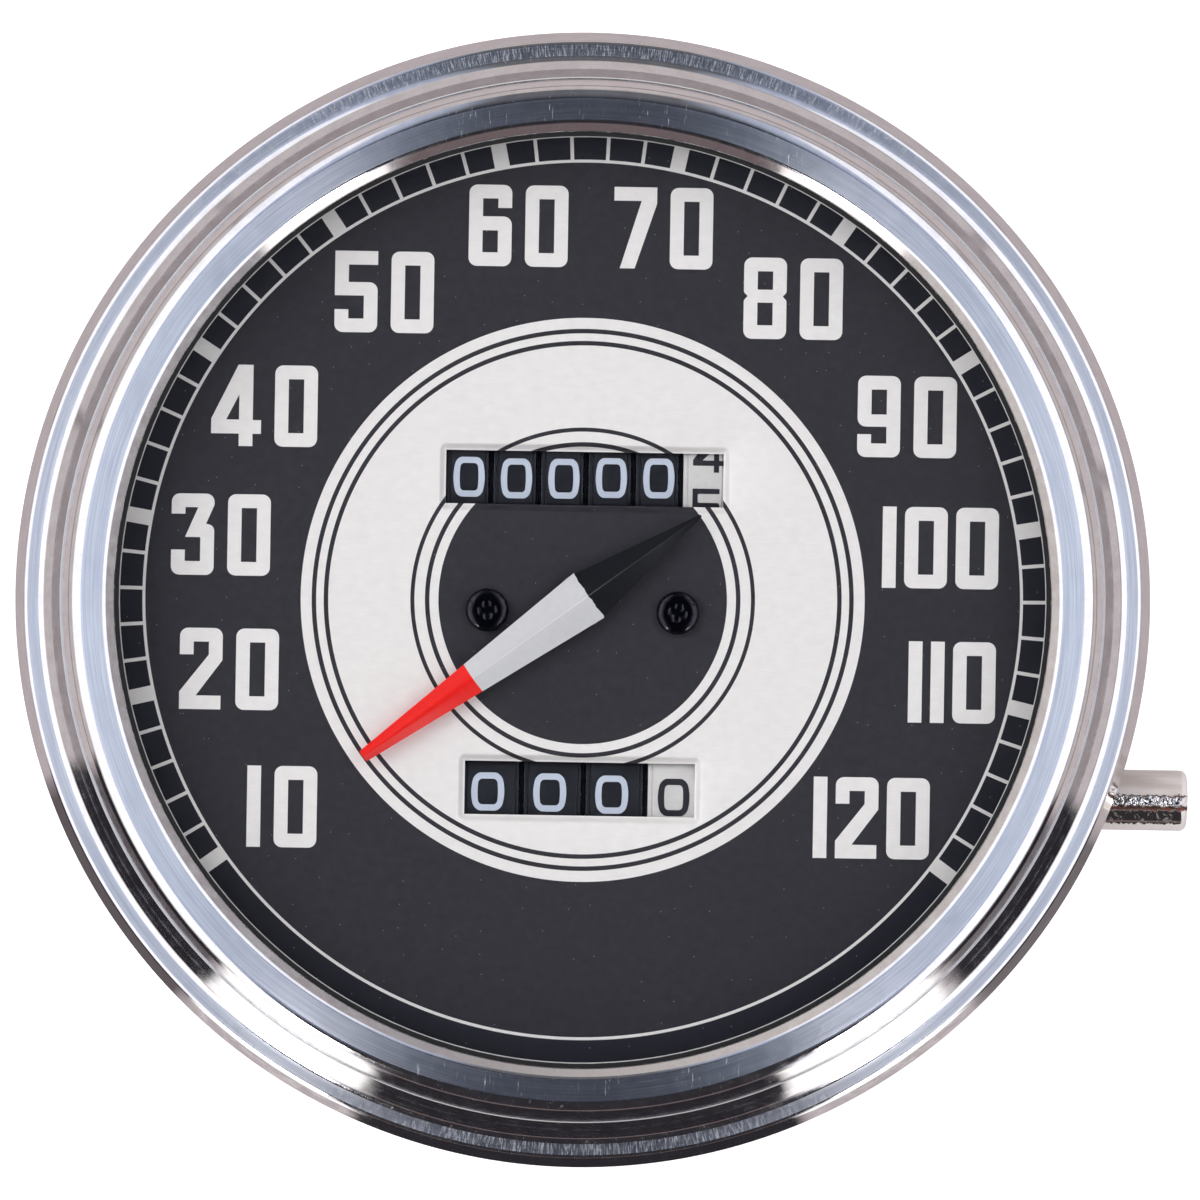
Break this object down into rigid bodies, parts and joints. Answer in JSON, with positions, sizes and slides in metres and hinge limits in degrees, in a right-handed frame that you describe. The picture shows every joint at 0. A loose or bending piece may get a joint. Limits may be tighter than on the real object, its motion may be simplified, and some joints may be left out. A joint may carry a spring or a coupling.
{
  "type": "speedometer",
  "caption": "Round dash speedometer with a stepped polished bezel, dark numbered dial, red pointer, odometer and trip counter windows and a reset stem at the side.",
  "frame": {"origin": "centre of the bezel's seat on the dash, on the instrument's axis", "axes": "+Z is where the face looks, +Y is the dial's twelve o'clock and +X its three o'clock"},
  "size_m": [0.1318, 0.127, 0.078],
  "materials": {
    "polished_steel": "polished stainless steel",
    "glass": "clear flat glass",
    "black_rubber": "matt rubber",
    "dial_plate": "printed on brushed aluminium",
    "black_steel": "black oxide",
    "pointer_paint": "gloss enamel",
    "bright_steel": "ground",
    "brass": "machined",
    "bronze": "sintered bronze",
    "aluminium": "spun",
    "spring_bronze": "rolled",
    "case_paint": "black baked paint on drawn steel",
    "nickel_plate": "nickel plated",
    "zinc_plate": "zinc plated steel",
    "zinc_casting": "die cast",
    "magnet_steel": "sintered magnet",
    "bulb_glass": "clear bulb",
    "black_wheel": "moulded, satin",
    "white_wheel": "moulded, satin"
  },
  "bodies": {
    "root": {"bezel": "polished_steel", "glass": "glass", "glass_gasket": "black_rubber", "dial": "dial_plate", "dial_screws": "black_steel", "hairspring": "spring_bronze", "case": "case_paint", "cable_nipple": "nickel_plate", "mounting_studs": "zinc_plate", "lamp_holders": "zinc_plate", "lamp_bulbs": "bulb_glass", "stem_bush": "nickel_plate", "trip_carriers": "brass", "trip_carrier_bar": "bright_steel", "odometer_axle": "bright_steel", "odometer_carriers": "brass", "odometer_carrier_bar": "bright_steel", "counter_bracket_left": "zinc_plate", "counter_bracket_right": "zinc_plate", "field_cup": "zinc_plate", "spring_bridge": "brass", "dial_posts": "brass", "mid_plate": "zinc_plate", "movement_frame": "zinc_casting", "drive_bush": "bronze", "plate_screws": "bright_steel", "case_screws": "zinc_plate"},
    "drive": {"drive_shaft": "bright_steel", "magnet": "magnet_steel"},
    "cross": {"cross_shaft": "bright_steel", "cross_gear": "brass"},
    "counter": {"counter_shaft": "bright_steel", "counter_shaft_gear": "brass"},
    "pointer": {"pointer": "pointer_paint", "spindle": "bright_steel", "stop_arm": "brass", "speed_cup": "aluminium"},
    "trip_shaft": {"trip_axle": "bright_steel", "reset_stem": "nickel_plate"},
    "trip_drive": {"trip_gear": "brass"},
    "odometer_1": {"odometer_wheel_1": "black_wheel"},
    "odometer_2": {"odometer_wheel_2": "black_wheel"},
    "odometer_3": {"odometer_wheel_3": "black_wheel"},
    "odometer_4": {"odometer_wheel_4": "black_wheel"},
    "odometer_5": {"odometer_wheel_5": "black_wheel"},
    "odometer_6": {"odometer_wheel_6": "white_wheel", "odometer_gear": "brass"},
    "trip_1": {"trip_wheel_1": "black_wheel"},
    "trip_2": {"trip_wheel_2": "black_wheel"},
    "trip_3": {"trip_wheel_3": "black_wheel"},
    "trip_4": {"trip_wheel_4": "white_wheel"}
  },
  "joints": [
    {"name": "drive_spin", "type": "hinge", "parent": "root", "child": "drive", "pos_m": [0, 0, -0.045], "axis": [0, 0, -1], "continuous": true},
    {"name": "pointer_swing", "type": "hinge", "parent": "root", "child": "pointer", "pos_m": [0, 0, -0.01], "axis": [0, 0, -1], "range_deg": [0, 252], "stiffness_Nm_per_rad": 0.00002, "springref_deg": -11.46},
    {"name": "trip_reset", "type": "hinge", "parent": "root", "child": "trip_shaft", "pos_m": [0, -0.0215, -0.0082], "axis": [1, 0, 0], "continuous": true},
    {"name": "cross_spin", "type": "hinge", "parent": "root", "child": "cross", "pos_m": [0, -0.0081, -0.03325], "axis": [1, 0, 0], "continuous": true},
    {"name": "counter_spin", "type": "hinge", "parent": "root", "child": "counter", "pos_m": [0.0285, 0, -0.02135], "axis": [0, 1, 0], "continuous": true},
    {"name": "trip_drive_spin", "type": "hinge", "parent": "root", "child": "trip_drive", "pos_m": [0.0285, -0.0215, -0.0082], "axis": [-1, 0, 0], "continuous": true},
    {"name": "odometer_6_spin", "type": "hinge", "parent": "root", "child": "odometer_6", "pos_m": [0, 0.0135, -0.0082], "axis": [-1, 0, 0], "continuous": true},
    {"name": "odometer_5_spin", "type": "hinge", "parent": "root", "child": "odometer_5", "pos_m": [0, 0.0135, -0.0082], "axis": [-1, 0, 0], "continuous": true},
    {"name": "odometer_4_spin", "type": "hinge", "parent": "root", "child": "odometer_4", "pos_m": [0, 0.0135, -0.0082], "axis": [-1, 0, 0], "continuous": true},
    {"name": "odometer_3_spin", "type": "hinge", "parent": "root", "child": "odometer_3", "pos_m": [0, 0.0135, -0.0082], "axis": [-1, 0, 0], "continuous": true},
    {"name": "odometer_2_spin", "type": "hinge", "parent": "root", "child": "odometer_2", "pos_m": [0, 0.0135, -0.0082], "axis": [-1, 0, 0], "continuous": true},
    {"name": "odometer_1_spin", "type": "hinge", "parent": "root", "child": "odometer_1", "pos_m": [0, 0.0135, -0.0082], "axis": [-1, 0, 0], "continuous": true},
    {"name": "trip_4_spin", "type": "hinge", "parent": "trip_shaft", "child": "trip_4", "pos_m": [0, -0.0215, -0.0082], "axis": [-1, 0, 0], "continuous": true},
    {"name": "trip_3_spin", "type": "hinge", "parent": "trip_shaft", "child": "trip_3", "pos_m": [0, -0.0215, -0.0082], "axis": [-1, 0, 0], "continuous": true},
    {"name": "trip_2_spin", "type": "hinge", "parent": "trip_shaft", "child": "trip_2", "pos_m": [0, -0.0215, -0.0082], "axis": [-1, 0, 0], "continuous": true},
    {"name": "trip_1_spin", "type": "hinge", "parent": "trip_shaft", "child": "trip_1", "pos_m": [0, -0.0215, -0.0082], "axis": [-1, 0, 0], "continuous": true}
  ],
  "couplings": [
    {"joint": "cross_spin", "follows": "drive_spin", "ratio": 0.071429},
    {"joint": "counter_spin", "follows": "drive_spin", "ratio": 0.0044643},
    {"joint": "trip_drive_spin", "follows": "drive_spin", "ratio": 0.00044643},
    {"joint": "odometer_6_spin", "follows": "drive_spin", "ratio": 0.00044643},
    {"joint": "odometer_5_spin", "follows": "drive_spin", "ratio": 0.000044643},
    {"joint": "odometer_4_spin", "follows": "drive_spin", "ratio": 0.0000044643},
    {"joint": "odometer_3_spin", "follows": "drive_spin", "ratio": 0.00000044643},
    {"joint": "odometer_2_spin", "follows": "drive_spin", "ratio": 0.000000044643},
    {"joint": "odometer_1_spin", "follows": "drive_spin", "ratio": 0.0000000044643},
    {"joint": "trip_4_spin", "follows": "drive_spin", "ratio": 0.00044643},
    {"joint": "trip_3_spin", "follows": "drive_spin", "ratio": 0.000044643},
    {"joint": "trip_2_spin", "follows": "drive_spin", "ratio": 0.0000044643},
    {"joint": "trip_1_spin", "follows": "drive_spin", "ratio": 0.00000044643}
  ]
}
